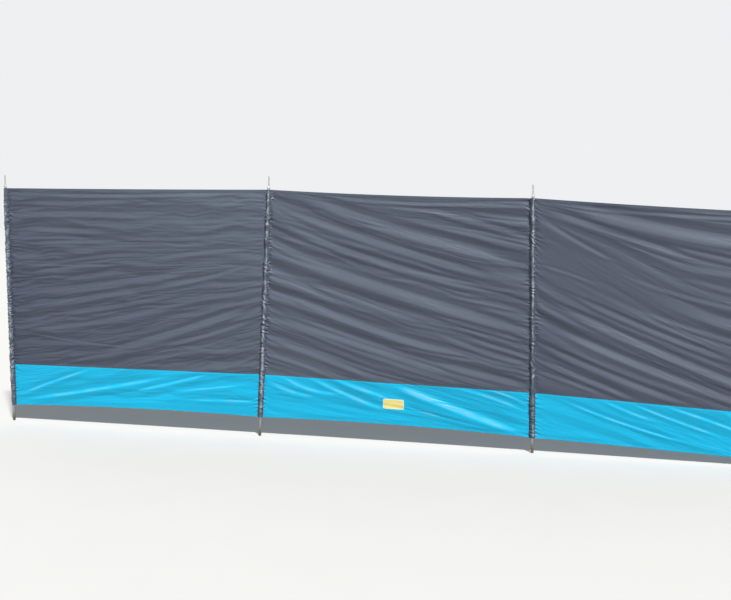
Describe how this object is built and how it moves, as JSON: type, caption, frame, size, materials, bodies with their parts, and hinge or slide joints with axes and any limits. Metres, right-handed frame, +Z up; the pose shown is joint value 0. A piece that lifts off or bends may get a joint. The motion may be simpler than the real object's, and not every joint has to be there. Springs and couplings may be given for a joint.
{
  "type": "beach windbreak",
  "caption": "Straight windbreak of stretched two-colour cloth in bays, on slim sectional steel poles in sewn sleeves, with grooved guy pins on top.",
  "frame": {"origin": "the middle of the first pole's foot, at ground level", "axes": "+X along the row, from the first pole to the last; +Y through the cloth, from the sleeves' side to the plain side; +Z up"},
  "size_m": [5.063, 0.0198, 1.5969],
  "materials": {
    "dark_cloth": "satin",
    "blue_cloth": "satin",
    "yellow_patch": "satin",
    "tube_steel": "galvanised",
    "turned_steel": "zinc plated",
    "eyelet_steel": "polished",
    "plug_plastic": "matt"
  },
  "bodies": {
    "root": {"pole_1_lower_tube": "tube_steel", "pole_1_middle_tube": "tube_steel", "pole_1_upper_tube": "tube_steel", "pole_1_tip_plug": "plug_plastic", "pole_1_tip_pin": "turned_steel", "pole_1_tip_collar": "turned_steel", "pole_1_eyelet": "eyelet_steel", "pole_1_sleeve": "dark_cloth", "pole_2_lower_tube": "tube_steel", "pole_2_middle_tube": "tube_steel", "pole_2_upper_tube": "tube_steel", "pole_2_tip_plug": "plug_plastic", "pole_2_tip_pin": "turned_steel", "pole_2_tip_collar": "turned_steel", "pole_2_eyelet": "eyelet_steel", "pole_2_sleeve": "dark_cloth", "pole_3_lower_tube": "tube_steel", "pole_3_middle_tube": "tube_steel", "pole_3_upper_tube": "tube_steel", "pole_3_tip_plug": "plug_plastic", "pole_3_tip_pin": "turned_steel", "pole_3_tip_collar": "turned_steel", "pole_3_eyelet": "eyelet_steel", "pole_3_sleeve": "dark_cloth", "pole_4_lower_tube": "tube_steel", "pole_4_middle_tube": "tube_steel", "pole_4_upper_tube": "tube_steel", "pole_4_tip_plug": "plug_plastic", "pole_4_tip_pin": "turned_steel", "pole_4_tip_collar": "turned_steel", "pole_4_eyelet": "eyelet_steel", "pole_4_sleeve": "dark_cloth", "bay_1_upper_cloth": "dark_cloth", "bay_1_lower_band": "blue_cloth", "bay_2_upper_cloth": "dark_cloth", "bay_2_lower_band": "blue_cloth", "bay_3_upper_cloth": "dark_cloth", "bay_3_lower_band": "blue_cloth", "label_patch": "yellow_patch"}
  },
  "joints": []
}
